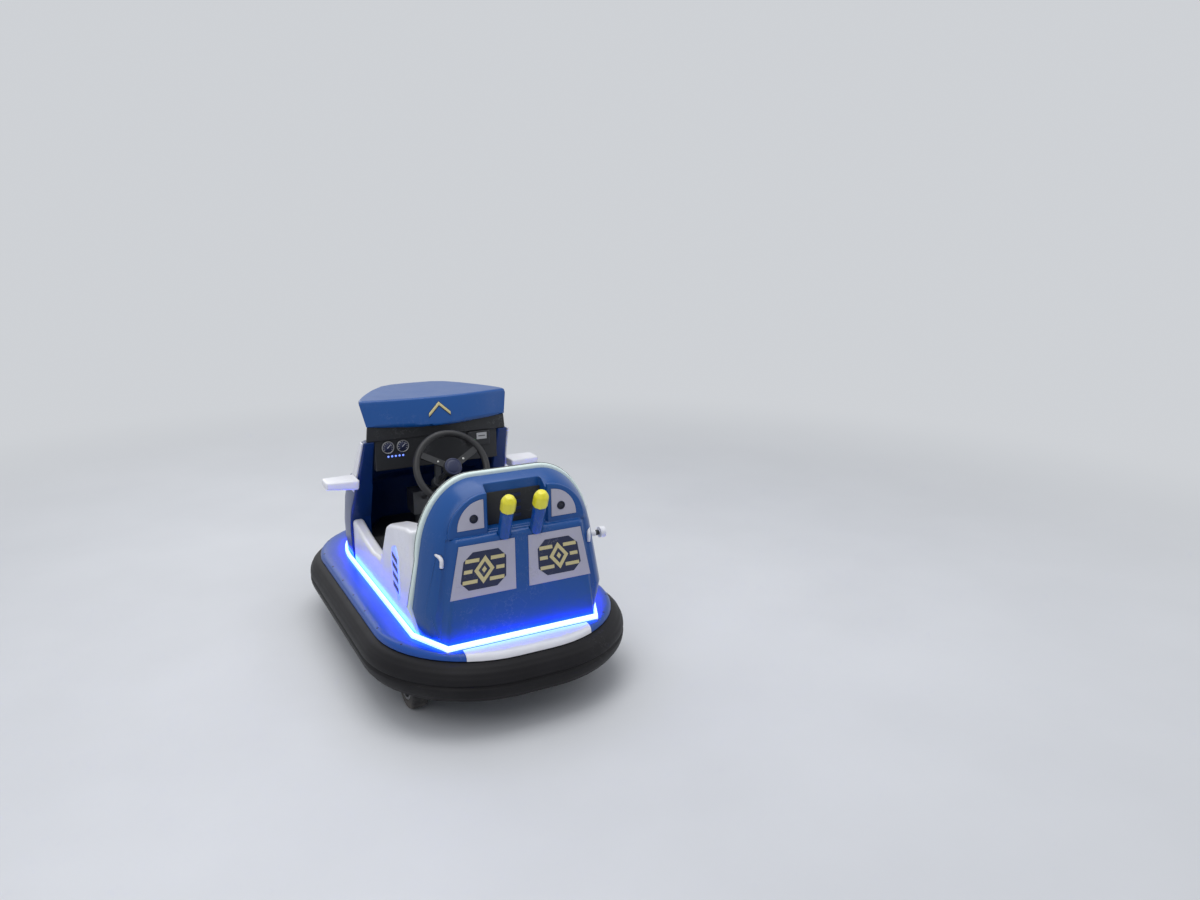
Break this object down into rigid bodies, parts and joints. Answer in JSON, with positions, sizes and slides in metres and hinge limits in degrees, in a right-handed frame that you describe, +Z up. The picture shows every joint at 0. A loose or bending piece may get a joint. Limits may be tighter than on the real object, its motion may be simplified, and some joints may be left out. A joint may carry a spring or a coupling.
{
  "type": "bumper car",
  "caption": "Battery bumper car with a rubber ring round the deck, a moulded body with seat, steering wheel, tail shell, nose cowl and visor, and a steered drive wheel.",
  "frame": {"origin": "on the floor, under the middle of the bumper's plan", "axes": "+Y towards the tail, so the car drives along -Y; +X to the car's left; +Z up"},
  "size_m": [0.98, 1.65, 0.974],
  "materials": {
    "rubber": "worn matt",
    "band_steel": "satin",
    "frame_steel": "satin",
    "zinc_steel": "dull",
    "deck_blue": "gloss with fine scratches",
    "white_plastic": "gloss",
    "light": "frosted, lit",
    "dark_plastic": "grained",
    "navy_plastic": "grained",
    "lamp_blue": "frosted, lit",
    "mint_white": "gloss",
    "shell_blue": "gloss",
    "silver_plastic": "satin silver",
    "cap_yellow": "gloss",
    "white_metal": "gloss",
    "seat_leather": "grained vinyl",
    "webbing": "woven",
    "cowl_blue": "gloss",
    "lamp_lens": "frosted, lit",
    "dark_screen": "gloss",
    "bare_steel": "turned",
    "cast_metal": "cast",
    "grip_black": "grained",
    "tyre": "solid rubber",
    "rim_metal": "cast"
  },
  "bodies": {
    "car": {"bumper_ring": "rubber", "bumper_band": "band_steel", "chassis_rails": "frame_steel", "chassis_crossbars": "frame_steel", "chassis_outriggers": "frame_steel", "turntable_posts": "frame_steel", "lashing_eyes": "zinc_steel", "deck": "deck_blue", "deck_insert_rear": "white_plastic", "deck_insert_front": "white_plastic", "light_strip": "light", "floor_pan": "dark_plastic", "footwell_tub": "navy_plastic", "drive_cover": "dark_plastic", "side_body_left": "white_plastic", "side_body_right": "white_plastic", "side_lamps": "lamp_blue", "seat_back_panel": "mint_white", "tail_shell": "shell_blue", "lower_panels": "silver_plastic", "upper_panels": "silver_plastic", "recess_lining": "dark_plastic", "tail_posts": "shell_blue", "tail_caps": "cap_yellow", "grab_handles": "white_metal", "marker_lamp": "white_plastic", "seat_base": "navy_plastic", "seat_cushion": "seat_leather", "seat_back_pad": "seat_leather", "seat_belt": "webbing", "battery_pack": "dark_plastic", "front_cowl": "cowl_blue", "nose_panel": "white_plastic", "headlamps": "lamp_lens", "cheek_panels": "white_plastic", "stub_wings": "white_plastic", "windscreen": "dark_screen", "dash_panel": "dark_plastic", "visor": "shell_blue", "pedal": "bare_steel", "turntable_plate": "frame_steel", "steering_gearbox": "cast_metal", "column_bracket": "frame_steel", "axle_brackets": "frame_steel", "rear_axle": "bare_steel"},
    "steering_wheel": {"steering_ring": "grip_black", "steering_spokes": "dark_plastic", "steering_column": "bare_steel"},
    "drive_fork": {"drive_fork": "frame_steel", "front_axle": "bare_steel"},
    "front_wheel": {"front_tyre": "tyre", "hub_motor": "cast_metal"},
    "rear_wheel_left": {"rear_tyre_left": "tyre", "rear_rim_left": "rim_metal"},
    "rear_wheel_right": {"rear_tyre_right": "tyre", "rear_rim_right": "rim_metal"}
  },
  "joints": [
    {"name": "fork_turn", "type": "hinge", "parent": "car", "child": "drive_fork", "pos_m": [0, -0.42, 0.1], "axis": [0, 0, 1], "range_deg": [-90, 90]},
    {"name": "steering_turn", "type": "hinge", "parent": "car", "child": "steering_wheel", "pos_m": [0, -0.42, 0.466], "axis": [0, 0.866, 0.5], "range_deg": [-90, 90]},
    {"name": "front_wheel_spin", "type": "hinge", "parent": "drive_fork", "child": "front_wheel", "pos_m": [0, -0.42, 0.1], "axis": [1, 0, 0], "continuous": true},
    {"name": "rear_wheel_left_spin", "type": "hinge", "parent": "car", "child": "rear_wheel_left", "pos_m": [0.335, 0.465, 0.1], "axis": [1, 0, 0], "continuous": true},
    {"name": "rear_wheel_right_spin", "type": "hinge", "parent": "car", "child": "rear_wheel_right", "pos_m": [-0.335, 0.465, 0.1], "axis": [1, 0, 0], "continuous": true}
  ],
  "couplings": [
    {"joint": "steering_turn", "follows": "fork_turn", "ratio": 1}
  ]
}
